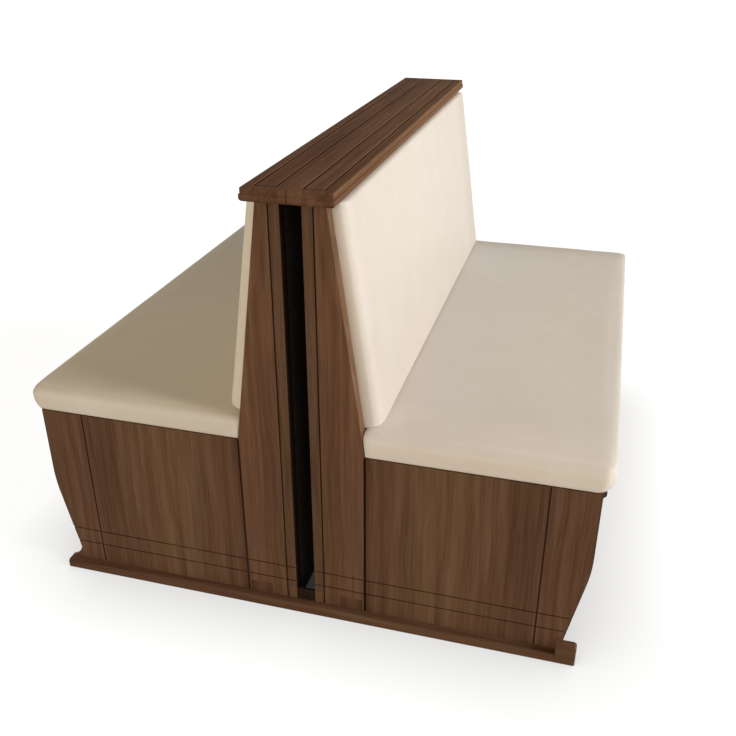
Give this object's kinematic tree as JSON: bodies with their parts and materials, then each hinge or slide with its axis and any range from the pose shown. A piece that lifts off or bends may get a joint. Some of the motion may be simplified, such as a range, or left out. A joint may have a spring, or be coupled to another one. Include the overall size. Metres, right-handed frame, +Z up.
{
  "type": "double restaurant booth",
  "caption": "Back-to-back restaurant booth: two cream upholstered benches with walnut ends, an open gap between the backs and one wooden cap.",
  "frame": {"origin": "on the floor, under the middle of the gap between the two backs", "axes": "+X out of the back of the right bench towards its front, +Y along the benches to the far end, +Z up"},
  "size_m": [1.185, 1.218, 0.914],
  "materials": {
    "walnut": "satin dark walnut laminate",
    "black_board": "matt black stained board",
    "plywood": "raw plywood",
    "pine": "planed softwood",
    "cream_vinyl": "smooth cream upholstery vinyl",
    "steel": "zinc plated"
  },
  "bodies": {
    "frame": {"back_board_left": "plywood", "back_board_right": "plywood", "back_cushion_left": "cream_vinyl", "back_cushion_right": "cream_vinyl", "back_low_rail_left": "pine", "back_low_rail_right": "pine", "back_posts_left": "pine", "back_posts_right": "pine", "back_skin_left": "black_board", "back_skin_right": "black_board", "back_top_rail_left": "pine", "back_top_rail_right": "pine", "cap_left": "walnut", "cap_right": "walnut", "cap_tie_plates": "steel", "corner_blocks_left": "pine", "corner_blocks_right": "pine", "end_panel_left_far": "walnut", "end_panel_left_near": "walnut", "end_panel_right_far": "walnut", "end_panel_right_near": "walnut", "front_floor_rail_left": "pine", "front_floor_rail_right": "pine", "front_panel_left": "walnut", "front_panel_right": "walnut", "front_rail_left": "pine", "front_rail_right": "pine", "rear_floor_rail_left": "pine", "rear_floor_rail_right": "pine", "rear_rail_left": "pine", "rear_rail_right": "pine", "seat_ribs_left": "plywood", "seat_ribs_right": "plywood", "shoe_strip_far": "walnut", "shoe_strip_near": "walnut", "sole_rail_far": "walnut", "sole_rail_near": "walnut", "stile_left_far": "walnut", "stile_left_near": "walnut", "stile_right_far": "walnut", "stile_right_near": "walnut", "tie_plate_screws": "steel"},
    "seat_left": {"seat_board_left": "black_board", "seat_cushion_left": "cream_vinyl"},
    "seat_right": {"seat_board_right": "black_board", "seat_cushion_right": "cream_vinyl"}
  },
  "joints": [
    {"name": "seat_right_slide", "type": "slide", "parent": "frame", "child": "seat_right", "axis": [1, 0, 0], "range_m": [0, 0.55]},
    {"name": "seat_left_slide", "type": "slide", "parent": "frame", "child": "seat_left", "axis": [-1, 0, 0], "range_m": [0, 0.55]}
  ]
}
